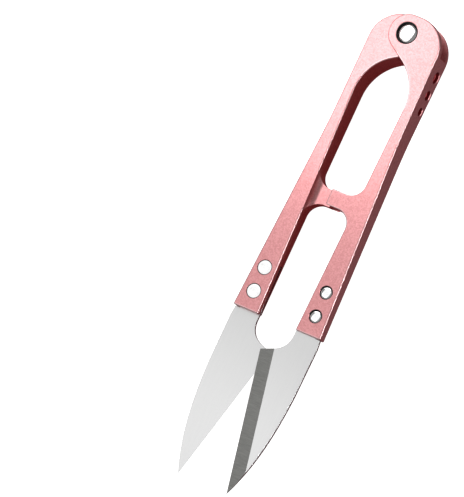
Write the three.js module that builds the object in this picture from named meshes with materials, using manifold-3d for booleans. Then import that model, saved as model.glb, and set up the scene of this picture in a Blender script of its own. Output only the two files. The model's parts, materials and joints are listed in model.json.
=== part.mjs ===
// Spring thread snips: two die-cast arms on one riveted pivot, a torsion spring between
// their lugs, and a steel blade riveted into a slot at the end of each arm.
// Millimetres, +Z up. The snips lie flat and open, pivot towards +X, blades towards -X.
// The origin is the middle of the outer box's underside.
//
// Both halves are one design: the upper half is the lower half turned by 180 degrees about
// the long axis. A half is drawn in its own frame: pivot axis at the origin, +X towards the
// pivot end, so the blade end lies at -X, its own side at +Y, and its lug underneath.
// "along" is a distance from the pivot towards the blades, and "side" is a distance from
// the long axis towards the half's own side.

import * as THREE from 'three';
import Module from 'manifold-3d';
import { mergeVertices } from 'three/addons/utils/BufferGeometryUtils.js';

const wasm = await Module();
wasm.setup();

// Overall layout
const LENGTH = 120;
const LUG_RADIUS = 4.65;
const PIVOT_TO_TIP = LENGTH - LUG_RADIUS;
const PIVOT_X = LENGTH / 2 - LUG_RADIUS;

// Arm, in plan
const ARM_END = 73.8;
const OUTER_SIDE = 9.62;
const OUTER_SIDE_AT_END = 11.93;
const OUTER_BEND = 25;
const OUTER_BEND_RADIUS = 150;
const CORNER_RADIUS = 7.65;
const INNER_SIDE_AT_HOLLOW = 7.4;
const HOLLOW_ALONG = 10.1;
const HOLLOW_RADIUS = 11.5;
const INNER_SIDE_AT_END = 5.22;
const LUG_FLANK_ANGLE = THREE.MathUtils.degToRad(58);

// Arm, in height above and below the mid-plane
const LUG_FACE = 4.8;
const PLATE_FACE = 2.5;
const END_FACE = 1.5;
const TAPER_START = 5;
const LUG_THICKNESS = 2;
const PLATE_THICKNESS = 1;
const PLATE_RADIUS = 4.2;
const PLATE_REAR = 4.4;

// Room for the spring and for the other half around the pivot
const CHAMBER_RADIUS = 5.6;
const WALL_START = 2.4;
const MIDLINE_CLEARANCE = 1;

// Guide tab that crosses the middle
const TAB_START = 40.15;
const TAB_END = 44.15;
const TAB_REACH = 0.93;
const TAB_ROOT_RADIUS = 3.6;
const TAB_EDGE_RADIUS = 2;
const TAB_HALF_GAP = 0.15;

// Round dimples in the outer wall: distance along the arm and diameter
const DIMPLES = [
  { along: 6.6, diameter: 2.9 },
  { along: 11.2, diameter: 2.45 },
  { along: 15.4, diameter: 2.05 },
];
const DIMPLE_DEPTH = 1.1;

// Blade
const BLADE_THICKNESS = 0.8;
const BLADE_HALF_GAP = 0.05;
const TANG_START = 61.5;
const TANG_OUTER_SIDE = 10.6;
const SHOULDER_GAP = 0.06;
const SHOULDER_ALONG = 76.2;
const SPINE_SIDE = 12.05;
const SPINE_STRAIGHT_END = 88;
const TIP_SIDE = 6.7;
const HEEL_ALONG = 80.9;
const HEEL_SIDE = -1.35;
const THROAT_ALONG = 78.6;
const THROAT_SIDE = 5.25;
const THROAT_RADIUS = 5.3;
const BEVEL_WIDTH = 3.75;
const SLOT_GAP = 0.12;

// Blade rivets
const RIVETS = [{ name: 'inner', along: 63.15 }, { name: 'outer', along: 69.2 }];
const RIVET_SIDE = 8.5;
const RIVET_SHANK_RADIUS = 1.05;
const RIVET_HEAD_RADIUS = 1.75;
const RIVET_HEAD_THICKNESS = 0.5;
const RIVET_TAIL_RADIUS = 1.45;
const RIVET_TAIL_HEIGHT = 0.3;
const RIVET_RECESS_RADIUS = 1.6;
const RIVET_RECESS_DEPTH = 0.45;
const RIVET_GAP = 0.1;

// Pivot rivet
const PIVOT_SHANK_RADIUS = 1.5;
const PIVOT_CLEARANCE = 0.08;
const PIVOT_HEAD_RADIUS = 2.45;
const PIVOT_HEAD_HEIGHT = 0.75;
const PIVOT_RECESS_RADIUS = 2.7;
const PIVOT_RECESS_DEPTH = 1;

// Torsion spring
const WIRE_DIAMETER = 0.72;
const COIL_RADIUS = 3.3;
const COIL_PITCH = 0.8;
const COIL_FULL_TURNS = 2;
const LEG_ANGLE = THREE.MathUtils.degToRad(25);
const LEG_LENGTH = 9.2;
const LEG_SLOT_WIDTH = 1.5;

// Facets and tolerances
const ROUND_SIDES = 32;
const WIRE_SEGMENTS = 4;
const CURVE_SEGMENTS = 10;
const ARC_STEP = THREE.MathUtils.degToRad(9);
const SAME_POINT = 0.01;
const BIG = 200;

const pink = new THREE.MeshStandardMaterial({ color: 0xe4a9a9, roughness: 0.45, metalness: 0.5 });
const steel = new THREE.MeshStandardMaterial({ color: 0xd8d8d8, roughness: 0.3, metalness: 1 });
const rivetSteel = new THREE.MeshStandardMaterial({ color: 0xe6e6e6, roughness: 0.25, metalness: 1 });
const springSteel = new THREE.MeshStandardMaterial({ color: 0x8c8c8c, roughness: 0.35, metalness: 1 });

// A point of a half's plan, from its distance along and to the side.
const plan = (along, side) => new THREE.Vector2(-along, side);

function toSolid(geometry) {
  const bare = geometry.clone();
  bare.deleteAttribute('normal');
  bare.deleteAttribute('uv');
  const merged = mergeVertices(bare, 1e-5);
  const vertProperties = new Float32Array(merged.attributes.position.array);
  const triVerts = new Uint32Array(merged.index.array);
  return new wasm.Manifold(new wasm.Mesh({ numProp: 3, vertProperties, triVerts }));
}

function toGeometry(solid) {
  const mesh = solid.getMesh();
  const geometry = new THREE.BufferGeometry();
  geometry.setAttribute('position', new THREE.BufferAttribute(mesh.vertProperties, 3));
  geometry.setIndex(new THREE.BufferAttribute(mesh.triVerts, 1));
  geometry.computeVertexNormals();
  return geometry;
}

// Points along an arc, both ends included.
function arcPoints(centre, radius, from, turn) {
  const steps = Math.max(2, Math.ceil(Math.abs(turn) / ARC_STEP));
  return Array.from({ length: steps + 1 }, (_, i) => {
    const angle = from + turn * i / steps;
    return new THREE.Vector2(centre.x + radius * Math.cos(angle), centre.y + radius * Math.sin(angle));
  });
}

// The outline through points, leaving out any that fall on the one before.
function outline(points) {
  const apart = points.filter((point, i) => point.distanceTo(points.at(i - 1)) > SAME_POINT);
  return new THREE.Shape(apart);
}

// The points of a corner rounded with a radius, or the corner itself when it has none.
function cornerPoints({ at, radius = 0 }, before, after) {
  if (radius === 0) return [at];
  const back = before.clone().sub(at).normalize();
  const ahead = after.clone().sub(at).normalize();
  const half = back.angleTo(ahead) / 2;
  const bisector = back.clone().add(ahead).normalize();
  const centre = at.clone().addScaledVector(bisector, radius / Math.sin(half));
  const start = at.clone().addScaledVector(back, radius / Math.tan(half));
  const turn = (Math.PI - 2 * half) * Math.sign(ahead.cross(back));
  return arcPoints(centre, radius, start.sub(centre).angle(), turn);
}

function roundedShape(corners) {
  return outline(corners.flatMap((corner, i) => {
    const after = corners[(i + 1) % corners.length];
    return cornerPoints(corner, corners.at(i - 1).at, after.at);
  }));
}

function extrude(shape, low, high) {
  const options = { depth: high - low, bevelEnabled: false, curveSegments: CURVE_SEGMENTS };
  return new THREE.ExtrudeGeometry(shape, options).translate(0, 0, low);
}

function block(alongLow, alongHigh, sideLow, sideHigh, low, high) {
  const size = [alongHigh - alongLow, sideHigh - sideLow, high - low];
  const geometry = new THREE.BoxGeometry(...size);
  const middle = [-(alongLow + alongHigh) / 2, (sideLow + sideHigh) / 2, (low + high) / 2];
  return toSolid(geometry.translate(...middle));
}

function disc(along, side, radius, low, high) {
  const geometry = new THREE.CylinderGeometry(radius, radius, high - low, ROUND_SIDES);
  return toSolid(geometry.rotateX(Math.PI / 2).translate(-along, side, (low + high) / 2));
}

function lathe(points, along, side) {
  const profile = points.map(([r, z]) => new THREE.Vector2(r, z));
  return new THREE.LatheGeometry(profile, ROUND_SIDES).rotateX(Math.PI / 2).translate(-along, side, 0);
}

// Height of the lug-side face below the mid-plane, and of the plate-side face above it.
const taper = (face, along) => {
  const part = Math.max(0, (along - TAPER_START) / (ARM_END - TAPER_START));
  return face + (END_FACE - face) * part;
};
const lowFace = (along) => -taper(LUG_FACE, along);
const highFace = (along) => taper(PLATE_FACE, along);

// The side line of the inner wall, straight from the hollow to the blade end.
const innerSide = (along) => {
  const part = (along - HOLLOW_ALONG) / (ARM_END - HOLLOW_ALONG);
  return INNER_SIDE_AT_HOLLOW + (INNER_SIDE_AT_END - INNER_SIDE_AT_HOLLOW) * part;
};

// The arm in plan: outer edge, rounded corner, eye of the given radius around the pivot,
// straight flank, hollow and inner edge. The rear edge is its distance behind the pivot.
function armShape(eyeRadius, rear) {
  const drop = LUG_RADIUS - eyeRadius * Math.cos(LUG_FLANK_ANGLE);
  const flankStart = drop / Math.sin(LUG_FLANK_ANGLE);
  return roundedShape([
    { at: plan(ARM_END, OUTER_SIDE_AT_END) },
    { at: plan(ARM_END, INNER_SIDE_AT_END) },
    { at: plan(HOLLOW_ALONG, INNER_SIDE_AT_HOLLOW), radius: HOLLOW_RADIUS },
    { at: plan(flankStart, -eyeRadius), radius: eyeRadius },
    { at: plan(-rear, -eyeRadius), radius: eyeRadius },
    { at: plan(-rear, OUTER_SIDE), radius: CORNER_RADIUS },
    { at: plan(OUTER_BEND, OUTER_SIDE), radius: OUTER_BEND_RADIUS },
  ]);
}

// Everything between the tapering faces, seen from the side.
function taperedEnvelope() {
  const shape = new THREE.Shape([
    plan(-CORNER_RADIUS, lowFace(0)),
    plan(-CORNER_RADIUS, highFace(0)),
    plan(TAPER_START, highFace(TAPER_START)),
    plan(ARM_END + 1, highFace(ARM_END + 1)),
    plan(ARM_END + 1, lowFace(ARM_END + 1)),
    plan(TAPER_START, lowFace(TAPER_START)),
  ]);
  return toSolid(extrude(shape, -BIG / 2, BIG / 2).rotateX(Math.PI / 2));
}

// The tab in plan, with round roots that run into the inner wall.
function tabPlan() {
  const rootStart = TAB_START - 2 * TAB_ROOT_RADIUS;
  const rootEnd = TAB_END + 2 * TAB_ROOT_RADIUS;
  return roundedShape([
    { at: plan(rootEnd, innerSide(rootEnd) + 1) },
    { at: plan(rootEnd, innerSide(rootEnd)) },
    { at: plan(TAB_END, innerSide(TAB_END)), radius: TAB_ROOT_RADIUS },
    { at: plan(TAB_END, -TAB_REACH) },
    { at: plan(TAB_START, -TAB_REACH) },
    { at: plan(TAB_START, innerSide(TAB_START)), radius: TAB_ROOT_RADIUS },
    { at: plan(rootStart, innerSide(rootStart)) },
    { at: plan(rootStart, innerSide(rootStart) + 1) },
  ]);
}

// The tab in cross-section: a cove up the wall at its root, a round upper edge at its tip.
function tabSection() {
  const wall = innerSide(TAB_START) + 1;
  const cove = innerSide(TAB_END);
  const top = -TAB_HALF_GAP;
  const radius = TAB_EDGE_RADIUS;
  const coveCentre = new THREE.Vector2(cove - radius, top + radius);
  const tipCentre = new THREE.Vector2(radius - TAB_REACH, top - radius);
  return outline([
    new THREE.Vector2(wall, -LUG_FACE),
    new THREE.Vector2(wall, top + radius),
    ...arcPoints(coveCentre, radius, 0, -Math.PI / 2),
    ...arcPoints(tipCentre, radius, Math.PI / 2, Math.PI / 2),
    new THREE.Vector2(-TAB_REACH, -LUG_FACE),
  ]);
}

function tabSolid() {
  const section = extrude(tabSection(), -BIG / 2, BIG / 2);
  section.rotateX(Math.PI / 2).rotateZ(Math.PI / 2);
  return toSolid(section).intersect(toSolid(extrude(tabPlan(), -LUG_FACE, PLATE_FACE)));
}

// The space that stays free around the pivot between the lug and the plate.
function chamberSolid() {
  const low = LUG_THICKNESS - LUG_FACE;
  const high = PLATE_FACE - PLATE_THICKNESS;
  return disc(0, 0, CHAMBER_RADIUS, low, high)
    .add(block(-BIG, WALL_START, -BIG, BIG, low, high))
    .add(block(-BIG, BIG, -BIG, MIDLINE_CLEARANCE, low, high));
}

// The slot for one spring leg, from the chamber into the arm.
function legSlot() {
  const height = PLATE_FACE - PLATE_THICKNESS;
  const length = LEG_LENGTH + WIRE_DIAMETER;
  const geometry = new THREE.BoxGeometry(length, LEG_SLOT_WIDTH, 2 * height).translate(-length / 2, 0, 0);
  const start = coilPoint(-coilHalfTurn());
  return toSolid(geometry.rotateZ(-LEG_ANGLE).translate(start.x, start.y, 0));
}

function armSolid() {
  const lug = toSolid(extrude(armShape(LUG_RADIUS, LUG_RADIUS), -LUG_FACE, LUG_THICKNESS - LUG_FACE));
  const plate = armShape(PLATE_RADIUS, PLATE_REAR);
  const body = toSolid(extrude(plate, LUG_THICKNESS - LUG_FACE, PLATE_FACE));
  let arm = lug.add(body.subtract(chamberSolid())).intersect(taperedEnvelope());
  arm = arm.add(tabSolid().intersect(taperedEnvelope()));
  arm = arm.subtract(legSlot());

  const tall = LUG_FACE + 1;
  arm = arm.subtract(disc(0, 0, PIVOT_SHANK_RADIUS + PIVOT_CLEARANCE, -tall, tall));
  arm = arm.subtract(disc(0, 0, PIVOT_RECESS_RADIUS, -tall, PIVOT_RECESS_DEPTH - LUG_FACE));

  const slotLow = -BLADE_HALF_GAP - BLADE_THICKNESS - SLOT_GAP;
  const slotHigh = -BLADE_HALF_GAP + SLOT_GAP;
  const slotEnd = TANG_START - SLOT_GAP;
  arm = arm.subtract(block(slotEnd, BIG, 0, TANG_OUTER_SIDE + SLOT_GAP, slotLow, slotHigh));

  for (const { along } of RIVETS) {
    const headSeat = highFace(along) - RIVET_HEAD_THICKNESS - RIVET_GAP;
    const recessFloor = lowFace(along) + RIVET_RECESS_DEPTH;
    arm = arm.subtract(disc(along, RIVET_SIDE, RIVET_SHANK_RADIUS + RIVET_GAP, -tall, tall));
    arm = arm.subtract(disc(along, RIVET_SIDE, RIVET_HEAD_RADIUS + RIVET_GAP, headSeat, tall));
    arm = arm.subtract(disc(along, RIVET_SIDE, RIVET_RECESS_RADIUS, -tall, recessFloor));
  }

  for (const { along, diameter } of DIMPLES) {
    const pin = new THREE.CylinderGeometry(diameter / 2, diameter / 2, 2 * DIMPLE_DEPTH, 24);
    arm = arm.subtract(toSolid(pin.translate(-along, OUTER_SIDE, 0)));
  }
  return arm;
}

// The blade in plan, from the tang in its slot to the point.
function bladeShape() {
  const shape = new THREE.Shape();
  const line = (along, side) => shape.lineTo(-along, side);
  const heel = plan(HEEL_ALONG, HEEL_SIDE);
  const throat = plan(THROAT_ALONG, THROAT_SIDE);
  const up = heel.clone().sub(throat).normalize();
  const back = plan(ARM_END, INNER_SIDE_AT_END).sub(throat).normalize();
  const cut = THROAT_RADIUS / Math.tan(back.angleTo(up) / 2);
  const turnStart = throat.clone().addScaledVector(back, cut);
  const turnEnd = throat.clone().addScaledVector(up, cut);
  shape.moveTo(-TANG_START, TANG_OUTER_SIDE);
  line(ARM_END + SHOULDER_GAP, TANG_OUTER_SIDE);
  line(ARM_END + SHOULDER_GAP, OUTER_SIDE_AT_END - 0.1);
  line(SHOULDER_ALONG, SPINE_SIDE);
  line(SPINE_STRAIGHT_END, SPINE_SIDE - 0.08);
  shape.bezierCurveTo(-100, SPINE_SIDE - 0.5, -108, 9.9, -PIVOT_TO_TIP, TIP_SIDE);
  shape.lineTo(heel.x, heel.y);
  shape.lineTo(turnEnd.x, turnEnd.y);
  shape.quadraticCurveTo(throat.x, throat.y, turnStart.x, turnStart.y);
  line(ARM_END, INNER_SIDE_AT_END);
  line(TANG_START, innerSide(TANG_START) + SLOT_GAP);
  shape.closePath();
  return shape;
}

// The wedge that the grinding takes off the outer face along the cutting edge.
function bevelCut() {
  const low = -BLADE_HALF_GAP - BLADE_THICKNESS;
  const section = new THREE.Shape([
    new THREE.Vector2(-1, low - 1),
    new THREE.Vector2(BEVEL_WIDTH, low - 1),
    new THREE.Vector2(BEVEL_WIDTH, low),
    new THREE.Vector2(0, -BLADE_HALF_GAP - 0.04),
    new THREE.Vector2(-1, -BLADE_HALF_GAP - 0.04),
  ]);
  const edge = plan(PIVOT_TO_TIP, TIP_SIDE).sub(plan(HEEL_ALONG, HEEL_SIDE));
  const prism = extrude(section, -BIG / 2, BIG / 2).rotateX(Math.PI / 2);
  prism.rotateZ(edge.angle() - Math.PI / 2);
  return toSolid(prism.translate(-HEEL_ALONG, HEEL_SIDE, 0));
}

function bladeSolid() {
  const low = -BLADE_HALF_GAP - BLADE_THICKNESS;
  let blade = toSolid(extrude(bladeShape(), low, -BLADE_HALF_GAP)).subtract(bevelCut());
  for (const { along } of RIVETS) {
    blade = blade.subtract(disc(along, RIVET_SIDE, RIVET_SHANK_RADIUS + RIVET_GAP, -1, 1));
  }
  return blade;
}

// A blade rivet: flat head flush with the plate-side face, domed tail in the lug-side recess.
function rivetGeometry(along) {
  const head = highFace(along) - 0.02;
  const floor = lowFace(along) + RIVET_RECESS_DEPTH;
  const tail = floor - RIVET_GAP;
  return lathe([
    [0, tail - RIVET_TAIL_HEIGHT],
    [RIVET_TAIL_RADIUS * 0.6, tail - RIVET_TAIL_HEIGHT * 0.8],
    [RIVET_TAIL_RADIUS, tail - RIVET_TAIL_HEIGHT * 0.15],
    [RIVET_SHANK_RADIUS, tail],
    [RIVET_SHANK_RADIUS, head - RIVET_HEAD_THICKNESS],
    [RIVET_HEAD_RADIUS, head - RIVET_HEAD_THICKNESS],
    [RIVET_HEAD_RADIUS, head],
    [0, head],
  ], along, RIVET_SIDE);
}

// The pivot rivet: a shank with a low dome at each end, sunk into the lug recesses.
function pivotRivetGeometry() {
  const seat = LUG_FACE - PIVOT_RECESS_DEPTH + PIVOT_CLEARANCE;
  const dome = [0, 0.25, 0.5, 0.75, 1].map((part) => {
    const angle = part * Math.PI / 2;
    return [PIVOT_HEAD_RADIUS * Math.cos(angle), seat + PIVOT_HEAD_HEIGHT * Math.sin(angle)];
  });
  dome[4][0] = 0;
  const half = [[PIVOT_SHANK_RADIUS, seat], ...dome];
  const lowerHalf = half.map(([r, z]) => [r, -z]).reverse();
  return lathe([...lowerHalf, ...half], 0, 0);
}

// The coil runs clockwise seen from above, from the lower leg to the upper leg.
const coilHalfTurn = () => Math.PI * COIL_FULL_TURNS + Math.PI / 2 - LEG_ANGLE;

function coilPoint(turn) {
  const height = COIL_PITCH * turn / (2 * Math.PI);
  return new THREE.Vector3(COIL_RADIUS * Math.cos(turn), -COIL_RADIUS * Math.sin(turn), height);
}

class SpringCurve extends THREE.Curve {
  getPoint(part, target = new THREE.Vector3()) {
    const half = coilHalfTurn();
    const coil = 2 * half * COIL_RADIUS;
    const at = part * (coil + 2 * LEG_LENGTH) - LEG_LENGTH;
    const turn = THREE.MathUtils.clamp(at / COIL_RADIUS, 0, 2 * half) - half;
    const beyond = at - (turn + half) * COIL_RADIUS;
    const tangent = new THREE.Vector3(-Math.sin(turn), -Math.cos(turn), 0);
    return target.copy(coilPoint(turn)).addScaledVector(tangent, beyond);
  }
}

function springGeometry() {
  const section = new THREE.Shape();
  section.absarc(0, 0, WIRE_DIAMETER / 2, 0, 2 * Math.PI);
  return new THREE.ExtrudeGeometry(section, {
    extrudePath: new SpringCurve(), steps: 96, curveSegments: WIRE_SEGMENTS, bevelEnabled: false,
  });
}

function mesh(name, geometry, material) {
  const part = new THREE.Mesh(geometry, material);
  part.name = name;
  return part;
}

function halfGroup(prefix) {
  const half = new THREE.Group();
  half.add(mesh(`${prefix}_arm`, toGeometry(armSolid()), pink));
  half.add(mesh(`${prefix}_blade`, toGeometry(bladeSolid()), steel));
  for (const { name, along } of RIVETS) {
    half.add(mesh(`${prefix}_blade_rivet_${name}`, rivetGeometry(along), rivetSteel));
  }
  return half;
}

const snips = new THREE.Group();
const lowerHalf = halfGroup('lower');
const upperHalf = halfGroup('upper');
upperHalf.rotation.x = Math.PI;
snips.add(lowerHalf, upperHalf);
snips.add(mesh('pivot_rivet', pivotRivetGeometry(), rivetSteel));
snips.add(mesh('torsion_spring', springGeometry(), springSteel));
snips.position.set(PIVOT_X, 0, LUG_FACE);

const part = new THREE.Group();
part.add(snips);

export default part;
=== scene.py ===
"""Spring thread snips: the finished look of the two painted arms, their blades, rivets and spring.

Shapes are drawn in millimetres in a half's own frame and placed in metres in the row frame.
A half's frame has the pivot axis at its origin, +X towards the pivot end, its own side at +Y and
its lug underneath. The upper half is the lower half turned by 180 degrees about the long axis.
"along" is a distance from the pivot towards the blades, "side" one towards the half's own side.
"""

import json
import math

import bmesh
import bpy
from mathutils import Matrix, Vector


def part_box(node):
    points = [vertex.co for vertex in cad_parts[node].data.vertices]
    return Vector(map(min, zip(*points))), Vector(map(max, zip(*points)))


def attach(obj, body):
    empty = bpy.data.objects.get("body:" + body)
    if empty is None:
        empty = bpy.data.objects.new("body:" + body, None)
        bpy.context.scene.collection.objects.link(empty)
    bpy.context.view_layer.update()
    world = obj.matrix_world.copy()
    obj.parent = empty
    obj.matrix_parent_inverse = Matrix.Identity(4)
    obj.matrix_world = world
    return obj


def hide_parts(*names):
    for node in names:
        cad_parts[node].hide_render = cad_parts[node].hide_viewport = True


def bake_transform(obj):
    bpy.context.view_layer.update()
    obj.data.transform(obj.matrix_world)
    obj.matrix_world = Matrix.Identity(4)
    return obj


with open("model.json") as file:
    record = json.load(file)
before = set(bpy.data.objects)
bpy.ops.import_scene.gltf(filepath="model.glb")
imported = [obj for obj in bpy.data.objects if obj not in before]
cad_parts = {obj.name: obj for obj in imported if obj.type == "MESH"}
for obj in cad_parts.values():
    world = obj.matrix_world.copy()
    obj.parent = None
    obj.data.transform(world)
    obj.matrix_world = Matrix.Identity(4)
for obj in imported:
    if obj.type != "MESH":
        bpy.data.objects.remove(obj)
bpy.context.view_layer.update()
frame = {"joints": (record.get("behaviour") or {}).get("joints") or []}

MM = 0.001
PIVOT = Vector(frame["joints"][0]["pos_m"])
LOWER_ARM_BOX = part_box("lower_arm")
LOWER_BLADE_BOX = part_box("lower_blade")
BLADE_END = (PIVOT.x - LOWER_BLADE_BOX[0].x) / MM

# Arm, in plan
LUG_RADIUS = (LOWER_ARM_BOX[1].x - PIVOT.x) / MM
PLATE_RADIUS = 4.2
PLATE_REAR = 4.4
ARM_END = (PIVOT.x - LOWER_ARM_BOX[0].x) / MM
OUTER_SIDE = 9.62
OUTER_SIDE_AT_END = LOWER_ARM_BOX[1].y / MM
OUTER_BEND = 25
OUTER_BEND_RADIUS = 150
CORNER_RADIUS = 7.65
END_CORNER_RADIUS = 0.35
INNER_SIDE_AT_HOLLOW = 7.4
HOLLOW_ALONG = 10.1
HOLLOW_RADIUS = 11.5
INNER_SIDE_AT_END = 5.22
FLANK_ANGLE = math.radians(58)

# Arm, in height
LUG_FACE = PIVOT.z / MM
PLATE_FACE = 2.5
END_FACE = 1.5
TAPER_START = 5
LUG_THICKNESS = 2
PLATE_THICKNESS = 1
EDGE_RADIUS = 0.32
LUG_BACK_EDGE_RADIUS = 0.15

# Room for the spring and for the other half around the pivot
CHAMBER_RADIUS = 5.6
WALL_START = 2.4
MIDLINE_CLEARANCE = 1
LEG_SLOT_WIDTH = 1.5

# Guide tab that crosses the middle
TAB_START = 40.15
TAB_END = 44.15
TAB_REACH = 0.93
TAB_ROOT_RADIUS = 3.6
TAB_TIP_CORNER_RADIUS = 0.4
TAB_EDGE_RADIUS = 2
TAB_HALF_GAP = 0.15
WALL_SKIN = 0.02

# Round dimples in the outer wall: distance along the arm and diameter
DIMPLES = [(6.6, 2.9), (11.2, 2.45), (15.4, 2.05)]
DIMPLE_DEPTH = 1.1
DIMPLE_FLOOR_SHARE = 0.8
DIMPLE_WALL_SHARE = 0.85
MOUTH_CHAMFER = 0.12

# Blade
BLADE_THICKNESS = 0.8
BLADE_HALF_GAP = 0.05
BLADE_EDGE_RADIUS = 0.06
TANG_START = 61.5
TANG_OUTER_SIDE = 10.6
SHOULDER_GAP = 0.06
SHOULDER_INSET = 0.1
SHOULDER_ALONG = 76.2
SPINE_SIDE = 12.05
SPINE_STRAIGHT_END = 88
SPINE_DROP = 0.08
SPINE_PULLS = [(100, 11.55), (108, 9.9)]
TIP_SIDE = 6.7
HEEL = (80.9, -1.35)
THROAT = (78.6, 5.25)
THROAT_RADIUS = 5.3
BEVEL_WIDTH = 3.75
EDGE_LAND = 0.03
EDGE_SPARE = 0.3
BEVEL_OVERRUN = 1.3
SLOT_GAP = 0.12

# Blade rivets
RIVETS = {"inner": 63.15, "outer": 69.2}
RIVET_SIDE = 8.5
RIVET_SHANK_RADIUS = 1.05
RIVET_HEAD_RADIUS = 1.75
RIVET_HEAD_THICKNESS = 0.5
RIVET_HEAD_SINK = 0.02
RIVET_HEAD_RIM = 0.1
RIVET_TAIL_RADIUS = 1.45
RIVET_TAIL_HEIGHT = 0.3
RIVET_RECESS_RADIUS = 1.6
RIVET_RECESS_DEPTH = 0.45
RIVET_GAP = 0.1
RIVET_RING_RADIUS = 1.1
RIVET_RING_HALF_WIDTH = 0.06
RIVET_RING_DEPTH = 0.015

# Pivot rivet
PIVOT_SHANK_RADIUS = 1.5
PIVOT_CLEARANCE = 0.08
PIVOT_HEAD_RADIUS = 2.45
PIVOT_HEAD_HEIGHT = 0.75
PIVOT_RECESS_RADIUS = 2.7
PIVOT_RECESS_DEPTH = 1

# Torsion spring
WIRE_RADIUS = 0.36
COIL_RADIUS = 3.3
COIL_PITCH = 0.8
COIL_FULL_TURNS = 2
LEG_ANGLE = math.radians(25)
LEG_LENGTH = 9.2

# Fineness of the meshes
ARC_STEP = math.radians(3)
EDGE_STEPS = 4
SPINE_STEPS = 40
THROAT_STEPS = 24
ROUND_SIDES = 72
WIRE_SIDES = 16
WIRE_STEPS = 260
SMOOTH_ANGLE = math.radians(35)
BLADE_SMOOTH_ANGLE = math.radians(8)
SAME_POINT = 0.001
NEAR = 0.01

# How far cutting tools reach past a face, past the whole thickness and past the whole length
SPARE = 1
BEYOND = 12
BIG = 100


def plan(along, side):
    """A point of a half's plan."""
    return Vector((-along, side))


# ---------------------------------------------------------------- outlines

def arc_points(centre, radius, start, turn):
    """Points along an arc, both ends included."""
    steps = max(2, math.ceil(abs(turn) / ARC_STEP))
    angles = [start + turn * i / steps for i in range(steps + 1)]
    return [Vector(centre) + radius * Vector((math.cos(a), math.sin(a))) for a in angles]


def corner_points(corner, before, after):
    """The points of a corner (point, radius), rounded where the radius isn't zero."""
    point, radius = corner
    if radius == 0:
        return [point]
    back = (before - point).normalized()
    ahead = (after - point).normalized()
    half = back.angle(ahead) / 2
    centre = point + (back + ahead).normalized() * radius / math.sin(half)
    start = point + back * radius / math.tan(half) - centre
    turn = math.copysign(math.pi - 2 * half, ahead.cross(back))
    return arc_points(centre, radius, math.atan2(start.y, start.x), turn)


def rounded(corners):
    """A closed outline, counter-clockwise, through (point, radius) corners."""
    points = []
    for i, corner in enumerate(corners):
        after = corners[(i + 1) % len(corners)][0]
        points += corner_points(corner, corners[i - 1][0], after)
    return [p for i, p in enumerate(points) if (p - points[i - 1]).length > SAME_POINT]


def inset(outline, distance):
    """The outline moved inwards by a distance."""
    moved = []
    for i, point in enumerate(outline):
        before = (point - outline[i - 1]).normalized()
        after = (outline[(i + 1) % len(outline)] - point).normalized()
        along = (before + after).normalized()
        inwards = Vector((-along.y, along.x))
        share = inwards.dot(Vector((-before.y, before.x)))
        moved.append(point + inwards * distance / share)
    return moved


def bezier(points, steps):
    """Points of a cubic Bezier curve after its first point."""
    a, b, c, d = (Vector(p) for p in points)
    curve = []
    for i in range(1, steps + 1):
        t = i / steps
        s = 1 - t
        curve.append(a * s ** 3 + b * 3 * s * s * t + c * 3 * s * t * t + d * t ** 3)
    return curve


# ---------------------------------------------------------------- solids

def loft(rings):
    """A closed mesh through rings with the same number of points, capped at both ends."""
    count = len(rings[0])
    points = [point for ring in rings for point in ring]
    faces = [tuple(reversed(range(count)))]
    for level in range(len(rings) - 1):
        low = level * count
        for i in range(count):
            j = (i + 1) % count
            faces.append((low + i, low + j, low + count + j, low + count + i))
    faces.append(tuple(range(len(points) - count, len(points))))
    mesh = bpy.data.meshes.new("solid")
    mesh.from_pydata(points, [], faces)
    return mesh


def slab(outline, low, high, low_edge=0.0, high_edge=0.0):
    """An upright solid over an outline, with its bottom and top edges rounded."""
    quarter = [math.pi / 2 * i / EDGE_STEPS for i in range(EDGE_STEPS + 1)]
    levels = [(0, low)]
    if low_edge:
        levels = [(low_edge * (1 - math.sin(t)), low + low_edge * (1 - math.cos(t))) for t in quarter]
    top = [(0, high)]
    if high_edge:
        top = [(high_edge * (1 - math.sin(t)), high - high_edge * (1 - math.cos(t))) for t in quarter]
    rings = []
    for distance, height in levels + top[::-1]:
        rings.append([(p.x, p.y, height) for p in inset(outline, distance)])
    return loft(rings)


def block(along_low, along_high, side_low, side_high, low, high):
    """An upright box between two distances along, two sides and two heights."""
    corners = [
        (along_high, side_high),
        (along_high, side_low),
        (along_low, side_low),
        (along_low, side_high),
    ]
    return slab([plan(*corner) for corner in corners], low, high)


def lathe(profile, along=0.0, side=0.0):
    """A solid of revolution about a vertical axis. The profile of (radius, height) runs upwards
    from the axis back to the axis."""
    bm = bmesh.new()
    rings = []
    for radius, height in profile:
        if radius == 0:
            rings.append([bm.verts.new((-along, side, height))])
            continue
        angles = [2 * math.pi * i / ROUND_SIDES for i in range(ROUND_SIDES)]
        spots = [(radius * math.cos(a) - along, radius * math.sin(a) + side, height) for a in angles]
        rings.append([bm.verts.new(spot) for spot in spots])
    for lower, upper in zip(rings, rings[1:]):
        for i in range(ROUND_SIDES):
            j = (i + 1) % ROUND_SIDES
            below = [lower[i % len(lower)], lower[j % len(lower)]]
            above = [upper[j % len(upper)], upper[i % len(upper)]]
            bm.faces.new(list(dict.fromkeys(below + above)))
    mesh = bpy.data.meshes.new("turned")
    bm.to_mesh(mesh)
    bm.free()
    return mesh


def disc(along, side, radius, low, high):
    return lathe([(0, low), (radius, low), (radius, high), (0, high)], along, side)


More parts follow.
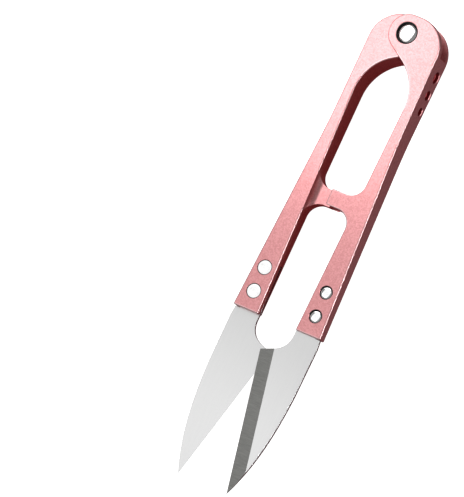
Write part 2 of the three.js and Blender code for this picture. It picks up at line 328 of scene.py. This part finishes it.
def combined(base, tools, operation):
    """The base mesh after the tool meshes are joined to it or cut from it."""
    body = bpy.data.objects.new("body", base)
    bpy.context.collection.objects.link(body)
    helpers = []
    for mesh in tools:
        helper = bpy.data.objects.new("tool", mesh)
        bpy.context.collection.objects.link(helper)
        helpers.append(helper)
        modifier = body.modifiers.new(operation, "BOOLEAN")
        modifier.operation = operation
        modifier.solver = "MANIFOLD"
        modifier.object = helper
    depsgraph = bpy.context.evaluated_depsgraph_get()
    result = bpy.data.meshes.new_from_object(body.evaluated_get(depsgraph))
    for helper in [body, *helpers]:
        bpy.data.objects.remove(helper)
    return result


# ---------------------------------------------------------------- arm

def taper(face, along):
    """Height of a face over the mid-plane, falling from the pivot to the blade end."""
    share = max(0, (along - TAPER_START) / (ARM_END - TAPER_START))
    return face + (END_FACE - face) * share


def tapered(mesh):
    """Moves both faces of a solid towards the mid-plane along the arm."""
    bm = bmesh.new()
    bm.from_mesh(mesh)
    everything = bm.verts[:] + bm.edges[:] + bm.faces[:]
    bmesh.ops.bisect_plane(bm, geom=everything, plane_co=(-TAPER_START, 0, 0), plane_no=(1, 0, 0))
    for vertex in bm.verts:
        face = LUG_FACE if vertex.co.z < 0 else PLATE_FACE
        drop = face - taper(face, -vertex.co.x)
        vertex.co.z -= math.copysign(drop, vertex.co.z)
    bm.to_mesh(mesh)
    bm.free()
    return mesh


def inner_side(along):
    """The side line of the inner wall, straight from the hollow to the blade end."""
    share = (along - HOLLOW_ALONG) / (ARM_END - HOLLOW_ALONG)
    return INNER_SIDE_AT_HOLLOW + (INNER_SIDE_AT_END - INNER_SIDE_AT_HOLLOW) * share


def arm_outline():
    """The arm and its tab in plan, with the narrower eye of the plate."""
    flank_start = (LUG_RADIUS - PLATE_RADIUS * math.cos(FLANK_ANGLE)) / math.sin(FLANK_ANGLE)
    return rounded([
        (plan(ARM_END, OUTER_SIDE_AT_END), END_CORNER_RADIUS),
        (plan(ARM_END, INNER_SIDE_AT_END), END_CORNER_RADIUS),
        (plan(TAB_END, inner_side(TAB_END)), TAB_ROOT_RADIUS),
        (plan(TAB_END, -TAB_REACH), TAB_TIP_CORNER_RADIUS),
        (plan(TAB_START, -TAB_REACH), TAB_TIP_CORNER_RADIUS),
        (plan(TAB_START, inner_side(TAB_START)), TAB_ROOT_RADIUS),
        (plan(HOLLOW_ALONG, INNER_SIDE_AT_HOLLOW), HOLLOW_RADIUS),
        (plan(flank_start, -PLATE_RADIUS), PLATE_RADIUS),
        (plan(-PLATE_REAR, -PLATE_RADIUS), PLATE_RADIUS),
        (plan(-PLATE_REAR, OUTER_SIDE), CORNER_RADIUS),
        (plan(OUTER_BEND, OUTER_SIDE), OUTER_BEND_RADIUS),
    ])


def lug_outline():
    """The lug's wider eye and rear corner, closed inside the arm."""
    right_angle = math.pi / 2
    corner = (LUG_RADIUS - CORNER_RADIUS, OUTER_SIDE - CORNER_RADIUS)
    eye = arc_points((0, 0), LUG_RADIUS, -right_angle - FLANK_ANGLE, right_angle + FLANK_ANGLE)
    rear = arc_points(corner, CORNER_RADIUS, 0, right_angle)
    return [*eye, *rear, Vector((corner[0], LUG_RADIUS))]


def tab_relief():
    """The space over the tab: a cove against the wall, a flat, and a round edge at the tip."""
    low, high = -TAB_HALF_GAP, PLATE_FACE + SPARE
    radius = TAB_EDGE_RADIUS
    right_angle = math.pi / 2
    sections = []
    for along in (TAB_START - 2 * TAB_ROOT_RADIUS, TAB_END + 2 * TAB_ROOT_RADIUS):
        wall = inner_side(along) - WALL_SKIN
        cove = arc_points((wall - radius, low + radius), radius, 0, -right_angle)
        tip = arc_points((radius - TAB_REACH, low - radius), radius, right_angle, right_angle)
        beyond = -TAB_REACH - SPARE
        ring = [Vector((wall, high)), *cove, *tip, Vector((beyond, low - radius)), Vector((beyond, high))]
        sections.append([(-along, p.x, p.y) for p in ring])
    return loft(sections)


def chamber_tools():
    low, high = LUG_THICKNESS - LUG_FACE, PLATE_FACE - PLATE_THICKNESS
    return [
        disc(0, 0, CHAMBER_RADIUS, low, high),
        block(-BIG, WALL_START, -BIG, BIG, low, high),
        block(-BIG, BIG, -BIG, MIDLINE_CLEARANCE, low, high),
    ]


def leg_slot():
    """The slot for one spring leg, from the chamber into the arm."""
    height = PLATE_FACE - PLATE_THICKNESS
    half = LEG_SLOT_WIDTH / 2
    length = LEG_LENGTH + 2 * WIRE_RADIUS
    start = coil_point(-coil_half_turn())
    turn = Matrix.Rotation(-LEG_ANGLE, 2)
    corners = [(0, half), (-length, half), (-length, -half), (0, -half)]
    return slab([turn @ Vector(c) + start.xy for c in corners], -height, height)


def sunk_hole(along, side, radius, face, depth):
    """A round recess in the lug-side face, with a small chamfer round its mouth."""
    mouth = radius + MOUTH_CHAMFER
    return lathe([
        (0, face - SPARE),
        (mouth + SPARE, face - SPARE),
        (mouth, face),
        (radius, face + MOUTH_CHAMFER),
        (radius, face + depth),
        (0, face + depth),
    ], along, side)


def dimple_tool(along, diameter):
    """A round dimple in the outer wall, nearly flat at its bottom."""
    radius = diameter / 2
    mouth = radius + MOUTH_CHAMFER
    mesh = lathe([
        (0, -DIMPLE_DEPTH),
        (radius * DIMPLE_FLOOR_SHARE, -DIMPLE_DEPTH),
        (radius, -DIMPLE_DEPTH * DIMPLE_WALL_SHARE),
        (radius, -MOUTH_CHAMFER),
        (mouth, 0),
        (mouth + SPARE, SPARE),
        (0, SPARE),
    ])
    mesh.transform(Matrix.Translation((-along, OUTER_SIDE, 0)) @ Matrix.Rotation(-math.pi / 2, 4, "X"))
    return mesh


def rivet_holes(along):
    head_face = taper(PLATE_FACE, along)
    head_seat = head_face - RIVET_HEAD_THICKNESS - RIVET_GAP
    return [
        disc(along, RIVET_SIDE, RIVET_SHANK_RADIUS + RIVET_GAP, -BEYOND, BEYOND),
        disc(along, RIVET_SIDE, RIVET_HEAD_RADIUS + RIVET_GAP, head_seat, BEYOND),
        sunk_hole(along, RIVET_SIDE, RIVET_RECESS_RADIUS, -taper(LUG_FACE, along), RIVET_RECESS_DEPTH),
    ]


def arm_mesh():
    body = slab(arm_outline(), -LUG_FACE, PLATE_FACE, EDGE_RADIUS, EDGE_RADIUS)
    lug = slab(lug_outline(), -LUG_FACE, LUG_THICKNESS - LUG_FACE, EDGE_RADIUS, LUG_BACK_EDGE_RADIUS)
    body = combined(tapered(body), chamber_tools(), "DIFFERENCE")
    arm = combined(body, [lug], "UNION")
    slot_low = -BLADE_HALF_GAP - BLADE_THICKNESS - SLOT_GAP
    slot_high = SLOT_GAP - BLADE_HALF_GAP
    tools = [
        tab_relief(),
        leg_slot(),
        disc(0, 0, PIVOT_SHANK_RADIUS + PIVOT_CLEARANCE, -BEYOND, BEYOND),
        sunk_hole(0, 0, PIVOT_RECESS_RADIUS, -LUG_FACE, PIVOT_RECESS_DEPTH),
        block(TANG_START - SLOT_GAP, BIG, 0, TANG_OUTER_SIDE + SLOT_GAP, slot_low, slot_high),
    ]
    for along in RIVETS.values():
        tools += rivet_holes(along)
    tools += [dimple_tool(*dimple) for dimple in DIMPLES]
    return combined(arm, tools, "DIFFERENCE")


# ---------------------------------------------------------------- blade

def blade_outline():
    heel, throat = plan(*HEEL), plan(*THROAT)
    tip = plan(BLADE_END, TIP_SIDE)
    up = (heel - throat).normalized()
    back = (plan(ARM_END, INNER_SIDE_AT_END) - throat).normalized()
    cut = THROAT_RADIUS / math.tan(back.angle(up) / 2)
    edge = (heel - tip).normalized()
    below = Vector((edge.y, -edge.x)) * EDGE_SPARE
    spine_end = plan(SPINE_STRAIGHT_END, SPINE_SIDE - SPINE_DROP)
    pulls = [plan(*pull) for pull in SPINE_PULLS]
    turn = throat + up * cut
    turn_end = throat + back * cut
    throat_curve = [turn, turn + (throat - turn) * 2 / 3, turn_end + (throat - turn_end) * 2 / 3, turn_end]
    return [
        plan(TANG_START, TANG_OUTER_SIDE),
        plan(ARM_END + SHOULDER_GAP, TANG_OUTER_SIDE),
        plan(ARM_END + SHOULDER_GAP, OUTER_SIDE_AT_END - SHOULDER_INSET),
        plan(SHOULDER_ALONG, SPINE_SIDE),
        spine_end,
        *bezier([spine_end, *pulls, tip], SPINE_STEPS),
        tip + below,
        heel + up * EDGE_SPARE,
        turn,
        *bezier(throat_curve, THROAT_STEPS),
        plan(ARM_END, INNER_SIDE_AT_END),
        plan(TANG_START, inner_side(TANG_START) + SLOT_GAP),
    ]


def bevel_tool():
    """What the grinding takes off: the wedge over the bevel, and all beyond the cutting edge."""
    flat, outer = -BLADE_HALF_GAP, -BLADE_HALF_GAP - BLADE_THICKNESS
    start = Vector((0, flat - EDGE_LAND))
    slope = Vector((BEVEL_WIDTH, outer)) - start
    end = start + slope * BEVEL_OVERRUN
    top, back, bottom = 1, -2, -3
    ring = [(0, top), (back, top), (back, bottom), (end.x, bottom), end, start]
    heel, tip = plan(*HEEL), plan(BLADE_END, TIP_SIDE)
    ahead = (tip - heel).normalized()
    across = Vector((ahead.y, -ahead.x))
    sections = []
    for distance in (BIG, -BIG):
        spot = heel + ahead * distance
        sections.append([(*(spot + across * out), height) for out, height in ring])
    return loft(sections)


def blade_mesh():
    body = slab(
        blade_outline(),
        -BLADE_HALF_GAP - BLADE_THICKNESS,
        -BLADE_HALF_GAP,
        BLADE_EDGE_RADIUS,
        BLADE_EDGE_RADIUS,
    )
    hole_radius = RIVET_SHANK_RADIUS + RIVET_GAP
    holes = [disc(along, RIVET_SIDE, hole_radius, -BEYOND, BEYOND) for along in RIVETS.values()]
    return combined(body, [bevel_tool(), *holes], "DIFFERENCE")


# ---------------------------------------------------------------- rivets and spring

def dome(radius, height, base, steps=10):
    """Profile of a low dome, from its rim up to the axis."""
    angles = [math.pi / 2 * i / steps for i in range(steps)]
    return [(radius * math.cos(a), base + height * math.sin(a)) for a in angles] + [(0, base + height)]


def rivet_mesh(along):
    """A flat head flush with the plate-side face and a domed tail in the lug-side recess."""
    head = taper(PLATE_FACE, along) - RIVET_HEAD_SINK
    tail = RIVET_GAP - (-taper(LUG_FACE, along) + RIVET_RECESS_DEPTH)
    tail_dome = [(r, -z) for r, z in dome(RIVET_TAIL_RADIUS, RIVET_TAIL_HEIGHT, tail)][::-1]
    return lathe([
        *tail_dome,
        (RIVET_SHANK_RADIUS, -tail),
        (RIVET_SHANK_RADIUS, head - RIVET_HEAD_THICKNESS),
        (RIVET_HEAD_RADIUS, head - RIVET_HEAD_THICKNESS),
        (RIVET_HEAD_RADIUS, head - RIVET_HEAD_RIM),
        (RIVET_HEAD_RADIUS - RIVET_HEAD_RIM, head),
        (RIVET_RING_RADIUS + RIVET_RING_HALF_WIDTH, head),
        (RIVET_RING_RADIUS, head - RIVET_RING_DEPTH),
        (RIVET_RING_RADIUS - RIVET_RING_HALF_WIDTH, head),
        (0, head),
    ], along, RIVET_SIDE)


def pivot_rivet_mesh():
    seat = LUG_FACE - PIVOT_RECESS_DEPTH + PIVOT_CLEARANCE
    half = [(PIVOT_SHANK_RADIUS, seat), *dome(PIVOT_HEAD_RADIUS, PIVOT_HEAD_HEIGHT, seat, 14)]
    lower = [(r, -z) for r, z in half][::-1]
    return lathe(lower + half)


def coil_half_turn():
    return math.pi * COIL_FULL_TURNS + math.pi / 2 - LEG_ANGLE


def coil_point(turn):
    """The coil runs clockwise seen from above, from the lower leg to the upper leg."""
    height = COIL_PITCH * turn / (2 * math.pi)
    return Vector((COIL_RADIUS * math.cos(turn), -COIL_RADIUS * math.sin(turn), height))


def spring_point(distance):
    """A point of the wire's centre line, measured from the start of the coil."""
    half = coil_half_turn()
    turn = min(max(distance / COIL_RADIUS, 0), 2 * half) - half
    beyond = distance - (turn + half) * COIL_RADIUS
    return coil_point(turn) + Vector((-math.sin(turn), -math.cos(turn), 0)) * beyond


def spring_mesh():
    length = 2 * coil_half_turn() * COIL_RADIUS + 2 * LEG_LENGTH
    step = length / WIRE_STEPS
    rings = []
    for i in range(WIRE_STEPS + 1):
        distance = i * step - LEG_LENGTH
        centre = spring_point(distance)
        ahead = (spring_point(distance + step / 2) - spring_point(distance - step / 2)).normalized()
        across = ahead.cross(Vector((0, 0, 1))).normalized()
        up = across.cross(ahead)
        angles = [2 * math.pi * k / WIRE_SIDES for k in range(WIRE_SIDES)]
        rings.append([centre + WIRE_RADIUS * (math.cos(a) * up + math.sin(a) * across) for a in angles])
    return loft(rings)


# ---------------------------------------------------------------- materials

def new_material(name):
    material = bpy.data.materials.new(name)
    material.use_nodes = True
    nodes = material.node_tree.nodes
    return material, nodes, material.node_tree.links, nodes["Principled BSDF"]


def mapped(nodes, links, scale, rotation=(0, 0, 0)):
    """Object coordinates in units of the given sizes, in metres."""
    place = nodes.new("ShaderNodeTexCoord")
    mapping = nodes.new("ShaderNodeMapping")
    mapping.inputs["Rotation"].default_value = rotation
    mapping.inputs["Scale"].default_value = [1 / size for size in scale]
    links.new(place.outputs["Object"], mapping.inputs["Vector"])
    return mapping.outputs["Vector"]


def noise(nodes, links, vector, detail=3):
    texture = nodes.new("ShaderNodeTexNoise")
    texture.inputs["Scale"].default_value = 1.0
    texture.inputs["Detail"].default_value = detail
    links.new(vector, texture.inputs["Vector"])
    return texture.outputs["Fac"]


def ramp(nodes, links, value, *stops):
    """A colour ramp through (position, colour) stops."""
    node = nodes.new("ShaderNodeValToRGB")
    elements = node.color_ramp.elements
    for element, (position, colour) in zip(elements, (stops[0], stops[-1])):
        element.position = position
        element.color = (*colour, 1)
    for position, colour in stops[1:-1]:
        elements.new(position).color = (*colour, 1)
    links.new(value, node.inputs["Fac"])
    return node.outputs["Color"]


def toned(nodes, links, shader, shade, dark, light):
    """Lets the base colour wander between two tones, by a noise."""
    links.new(ramp(nodes, links, shade, (0.3, dark), (0.7, light)), shader.inputs["Base Color"])


def finished(shader, metallic, roughness):
    shader.inputs["Metallic"].default_value = metallic
    shader.inputs["Roughness"].default_value = roughness


def bump(nodes, links, height, strength, distance, shader):
    node = nodes.new("ShaderNodeBump")
    node.inputs["Strength"].default_value = strength
    node.inputs["Distance"].default_value = distance
    links.new(height, node.inputs["Height"])
    links.new(node.outputs["Normal"], shader.inputs["Normal"])


def paint_material():
    """Pearly pink metallic paint with a fine flake."""
    material, nodes, links, shader = new_material("pearl_pink_paint")
    flake_size = [0.3 * MM] * 3
    flakes = nodes.new("ShaderNodeTexVoronoi")
    flakes.inputs["Scale"].default_value = 1.0
    links.new(mapped(nodes, links, flake_size), flakes.inputs["Vector"])
    tint = ramp(
        nodes, links, flakes.outputs["Color"],
        (0.15, (0.63, 0.262, 0.268)),
        (0.85, (0.755, 0.345, 0.352)),
    )
    links.new(tint, shader.inputs["Base Color"])
    finished(shader, metallic=1.0, roughness=0.42)
    shader.inputs["Coat Weight"].default_value = 0.35
    shader.inputs["Coat Roughness"].default_value = 0.12
    grain = noise(nodes, links, mapped(nodes, links, flake_size))
    bump(nodes, links, grain, 0.12, 0.05 * MM, shader)
    return material


def recess_shade_material():
    """Bare metal inside the rivet recesses, near black: painted shade in the recesses."""
    material, nodes, links, shader = new_material("painted_shade_recess")
    shade = noise(nodes, links, mapped(nodes, links, [0.3 * MM] * 3))
    toned(nodes, links, shader, shade, (0.012, 0.012, 0.012), (0.03, 0.03, 0.03))
    finished(shader, metallic=0.5, roughness=0.5)
    return material


def edge_highlight_material():
    """The paint on the rounded edges: polished, and lighter in colour as a painted highlight."""
    material, nodes, links, shader = new_material("painted_highlight_edge")
    shade = noise(nodes, links, mapped(nodes, links, [0.5 * MM] * 3))
    toned(nodes, links, shader, shade, (0.85, 0.52, 0.53), (0.93, 0.62, 0.63))
    finished(shader, metallic=1.0, roughness=0.28)
    return material


def dimple_shade_material():
    """Painted shade deep in the dimples: the paint darker and redder there."""
    material, nodes, links, shader = new_material("painted_shade_dimple")
    shade = noise(nodes, links, mapped(nodes, links, [0.4 * MM] * 3))
    toned(nodes, links, shader, shade, (0.24, 0.035, 0.04), (0.34, 0.06, 0.065))
    finished(shader, metallic=1.0, roughness=0.45)
    return material


def steel_material():
    """Satin polished steel with faint lengthwise polishing."""
    material, nodes, links, shader = new_material("satin_steel")
    streaks = noise(nodes, links, mapped(nodes, links, [6 * MM, 0.15 * MM, 1 * MM]), 4)
    toned(nodes, links, shader, streaks, (0.57, 0.57, 0.57), (0.59, 0.59, 0.588))
    finished(shader, metallic=1.0, roughness=0.3)
    bump(nodes, links, streaks, 0.02, 0.01 * MM, shader)
    return material


def ground_material(name, edge_angle):
    """A ground bevel, brushed across its cutting edge."""
    material, nodes, links, shader = new_material(name)
    vector = mapped(nodes, links, [0.09 * MM, 3 * MM, 3 * MM], (0, 0, edge_angle))
    lines = noise(nodes, links, vector, 5)
    toned(nodes, links, shader, lines, (0.245, 0.245, 0.235), (0.365, 0.365, 0.35))
    finished(shader, metallic=1.0, roughness=0.38)
    bump(nodes, links, lines, 0.25, 0.03 * MM, shader)
    return material


def plated_material():
    """Bright plated rivet steel."""
    material, nodes, links, shader = new_material("bright_rivet_steel")
    wear = noise(nodes, links, mapped(nodes, links, [0.7 * MM] * 3))
    toned(nodes, links, shader, wear, (0.9, 0.9, 0.9), (0.97, 0.97, 0.965))
    finished(shader, metallic=1.0, roughness=0.1)
    bump(nodes, links, wear, 0.05, 0.03 * MM, shader)
    return material


def wire_material():
    """Drawn spring wire."""
    material, nodes, links, shader = new_material("spring_wire")
    streaks = noise(nodes, links, mapped(nodes, links, [0.1 * MM] * 3))
    toned(nodes, links, shader, streaks, (0.36, 0.36, 0.37), (0.52, 0.52, 0.53))
    finished(shader, metallic=1.0, roughness=0.35)
    return material


# ---------------------------------------------------------------- pieces

IN_ROW = Matrix.Translation(PIVOT) @ Matrix.Scale(MM, 4)
HALVES = {"lower": IN_ROW, "upper": IN_ROW @ Matrix.Rotation(math.pi, 4, "X")}

# Places in a piece's list of materials, after its main one
# The recess and dimple places hold painted shade, the edge place a painted highlight.
RECESS_SHADE_PLACE, HIGHLIGHT_EDGE_PLACE, DIMPLE_SHADE_PLACE = 1, 2, 3
GROUND_PLACE = 1

# How upright the normals of the rounded edges, with their painted highlight, and of the ground bevel are
HIGHLIGHT_EDGE_SLOPES = (0.1, 0.98)
BEVEL_SLOPES = (0.9, 0.995)


def placed(name, mesh, matrix, materials, smooth_angle=SMOOTH_ANGLE):
    """A finished piece: the mesh moved into the row frame, smooth over its round stretches."""
    mesh = mesh.copy()
    mesh.name = name
    mesh.transform(matrix)
    mesh.materials.clear()
    for material in materials:
        mesh.materials.append(material)
    mesh.shade_smooth()
    mesh.set_sharp_from_angle(angle=smooth_angle)
    piece = bpy.data.objects.new(name, mesh)
    bpy.context.collection.objects.link(piece)
    modifier = piece.modifiers.new("flat faces stay flat", "WEIGHTED_NORMAL")
    modifier.keep_sharp = True
    return piece


def stand_in(piece, body, node):
    """Ties a piece to its body and hides the node that it replaces."""
    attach(piece, body)
    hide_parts(node)


def mark_arm(piece, matrix):
    """Marks painted shade in the arm's recesses and dimples and a painted highlight on its edges."""
    to_half = matrix.inverted()
    skin = MOUTH_CHAMFER / 2
    wells = [(plan(0, 0), PIVOT_RECESS_RADIUS)]
    for along in RIVETS.values():
        wells.append((plan(along, RIVET_SIDE), RIVET_HEAD_RADIUS + RIVET_GAP))
    for polygon in piece.data.polygons:
        spot = to_half @ polygon.center
        depth = min(spot.z + taper(LUG_FACE, -spot.x), taper(PLATE_FACE, -spot.x) - spot.z)
        in_well = any((spot.xy - centre).length < radius + skin / 2 for centre, radius in wells)
        # Painted shade in the recesses and dimples, a painted highlight on the rounded edges.
        if in_well and depth > skin:
            polygon.material_index = RECESS_SHADE_PLACE
        elif not in_well and depth < EDGE_RADIUS and is_sloped(polygon, HIGHLIGHT_EDGE_SLOPES):
            polygon.material_index = HIGHLIGHT_EDGE_PLACE
        elif is_in_dimple(spot):
            polygon.material_index = DIMPLE_SHADE_PLACE


def is_sloped(polygon, slopes):
    """Whether a face's normal is as upright as a pair of limits says."""
    return slopes[0] < abs(polygon.normal.z) < slopes[1]


def is_in_dimple(spot):
    inside = OUTER_SIDE - DIMPLE_DEPTH - NEAR < spot.y < OUTER_SIDE - MOUTH_CHAMFER / 2
    return inside and any(
        math.hypot(spot.x + along, spot.z) < diameter / 2 + NEAR for along, diameter in DIMPLES
    )


def mark_bevel(piece):
    """Gives the ground bevel, the only sloping face, the blade's second material."""
    for polygon in piece.data.polygons:
        if is_sloped(polygon, BEVEL_SLOPES) and polygon.area > MM * MM:
            polygon.material_index = GROUND_PLACE


def make_pieces():
    arm, blade = arm_mesh(), blade_mesh()
    # The arm's paint, then painted shade for the recesses, a painted highlight for the edges and painted
    # shade for the dimples.
    finishes = [paint_material(), recess_shade_material(), edge_highlight_material(), dimple_shade_material()]
    steel, plated, wire = steel_material(), plated_material(), wire_material()
    edge = plan(BLADE_END, TIP_SIDE) - plan(*HEEL)
    edge_angle = math.atan2(edge.y, edge.x)
    for half, matrix in HALVES.items():
        body = f"{half}_half"
        turn = -edge_angle if half == "lower" else edge_angle
        ground = ground_material(f"{half}_ground_bevel", turn)
        piece = placed(f"{half}_painted_arm", arm, matrix, finishes)
        mark_arm(piece, matrix)
        stand_in(piece, body, f"{half}_arm")
        piece = placed(f"{half}_ground_blade", blade, matrix, [steel, ground], BLADE_SMOOTH_ANGLE)
        mark_bevel(piece)
        stand_in(piece, body, f"{half}_blade")
        for name, along in RIVETS.items():
            piece = placed(f"{half}_{name}_blade_rivet", rivet_mesh(along), matrix, [plated])
            stand_in(piece, body, f"{half}_blade_rivet_{name}")
    piece = placed("domed_pivot_rivet", pivot_rivet_mesh(), IN_ROW, [plated])
    stand_in(piece, "lower_half", "pivot_rivet")
    piece = placed("wound_spring", spring_mesh(), IN_ROW, [wire])
    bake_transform(piece)
    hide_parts("torsion_spring")


# ---------------------------------------------------------------- camera, floor and light

CAMERA_LENS = 800
SENSOR_WIDTH = 36
VIEW_HEIGHT = 115.635 * MM
ELEVATION = math.radians(65.33)
AZIMUTH = math.radians(-13.43)
ROLL = math.radians(52.36)
VIEW_CENTRE = Vector((0, 0, LUG_FACE * MM))
CENTRE_OFFSET = Vector((-18.65, 0.784)) * MM
BLADE_TIPS = PIVOT - Vector((110 * MM, 0, 0))
FLOOR_HALF = 6
FLOOR_DROP = 0.05 * MM
CARD_CORNERS = [(72, -9), (5, 7.5)]
CARD_DROP = 1 * MM


def make_camera():
    """A long lens from far away. The view is VIEW_HEIGHT tall where the piece lies."""
    back = Vector((
        math.cos(ELEVATION) * math.sin(AZIMUTH),
        -math.cos(ELEVATION) * math.cos(AZIMUTH),
        math.sin(ELEVATION),
    ))
    level = Vector((0, 0, 1)).cross(back).normalized()
    rise = back.cross(level)
    right = math.cos(ROLL) * level - math.sin(ROLL) * rise
    up = math.sin(ROLL) * level + math.cos(ROLL) * rise
    distance = CAMERA_LENS / SENSOR_WIDTH * VIEW_HEIGHT
    data = bpy.data.cameras.new("camera")
    data.lens = CAMERA_LENS
    data.sensor_width = SENSOR_WIDTH
    data.clip_start = 0.1
    data.clip_end = 50
    camera = bpy.data.objects.new("camera", data)
    place = VIEW_CENTRE + right * CENTRE_OFFSET.x + up * CENTRE_OFFSET.y + back * distance
    turn = Matrix((right, up, back)).transposed().to_4x4()
    camera.matrix_world = Matrix.Translation(place) @ turn
    bpy.context.collection.objects.link(camera)
    bpy.context.scene.camera = camera


def level_plane(name, low, high, height):
    """A level rectangle between two corners."""
    mesh = bpy.data.meshes.new(name)
    corners = [(low.x, low.y, 0), (high.x, low.y, 0), (high.x, high.y, 0), (low.x, high.y, 0)]
    mesh.from_pydata(corners, [], [(0, 1, 2, 3)])
    plane = bpy.data.objects.new(name, mesh)
    plane.location.z = height
    bpy.context.collection.objects.link(plane)
    return plane


def glowing_material(name, base, glow, strength, roughness):
    """An evenly glowing surface."""
    material, _, _, shader = new_material(name)
    shader.inputs["Base Color"].default_value = (*base, 1)
    shader.inputs["Roughness"].default_value = roughness
    shader.inputs["Emission Color"].default_value = (*glow, 1)
    shader.inputs["Emission Strength"].default_value = strength
    return material


def make_floor():
    """A floor that shows as pure white and lights nothing."""
    corner = Vector((FLOOR_HALF, FLOOR_HALF))
    floor = level_plane("floor", -corner, corner, -FLOOR_DROP)
    floor.data.materials.append(glowing_material("pale_floor", [0.85] * 3, [1] * 3, 1.0, 0.9))
    floor.visible_glossy = False
    floor.visible_diffuse = False


def soft_light(name, target, direction, distance, size, power):
    """A rectangular soft box facing the target from a direction."""
    data = bpy.data.lights.new(name, "AREA")
    data.shape = "RECTANGLE"
    data.size, data.size_y = size
    data.energy = power
    light = bpy.data.objects.new(name, data)
    bpy.context.collection.objects.link(light)
    direction = Vector(direction).normalized()
    light.location = Vector(target) + direction * distance
    light.rotation_mode = "QUATERNION"
    light.rotation_quaternion = direction.to_track_quat("Z", "Y")
    light.visible_camera = False


def make_card():
    """A deep red card under the windows, seen only in the inner walls' reflections."""
    low, high = (PIVOT.xy + plan(*corner) * MM for corner in CARD_CORNERS)
    card = level_plane("red_card", low, high, -CARD_DROP)
    card.data.materials.append(glowing_material("deep_red_card", (0.01, 0, 0), (1, 0.1, 0.1), 0.12, 0.5))
    card.visible_camera = False
    card.visible_diffuse = False
    card.visible_shadow = False


def make_world():
    """Brightest from the horizon to halfway up, dim overhead and dark underneath."""
    world = bpy.data.worlds.new("studio")
    bpy.context.scene.world = world
    world.use_nodes = True
    nodes, links = world.node_tree.nodes, world.node_tree.links
    place = nodes.new("ShaderNodeTexCoord")
    parts = nodes.new("ShaderNodeSeparateXYZ")
    links.new(place.outputs["Generated"], parts.inputs["Vector"])
    lift = nodes.new("ShaderNodeMapRange")
    lift.inputs["From Min"].default_value = -1
    links.new(parts.outputs["Z"], lift.inputs["Value"])
    shade = ramp(
        nodes, links, lift.outputs["Result"],
        (0.15, (0.15, 0.08, 0.085)),
        (0.42, (0.07, 0.05, 0.05)),
        (0.54, (0.45, 0.45, 0.45)),
        (0.72, (0.55, 0.55, 0.55)),
        (0.82, (0.22, 0.22, 0.22)),
        (1.0, (0.26, 0.26, 0.26)),
    )
    links.new(shade, nodes["Background"].inputs["Color"])


def make_lights():
    above = (0.1, 0.4, 0.9)
    soft_light("overhead", (0, 0, 0), (0.1, 0.3, 0.9), 0.7, (0.7, 0.5), 0.88)
    soft_light("pivot_glow", PIVOT + Vector((5 * MM, 0, 0)), above, 0.07, (0.09, 0.07), 0.04)
    soft_light("tip_glow", BLADE_TIPS, above, 0.15, (0.05, 0.08), 0.008)
    soft_light("edge_strip", (0, 0, 0), (0.1, -0.98, 0.15), 0.7, (0.9, 0.085), 4)


bpy.context.scene.view_settings.view_transform = "Standard"
make_camera()
make_pieces()
make_floor()
make_card()
make_world()
make_lights()
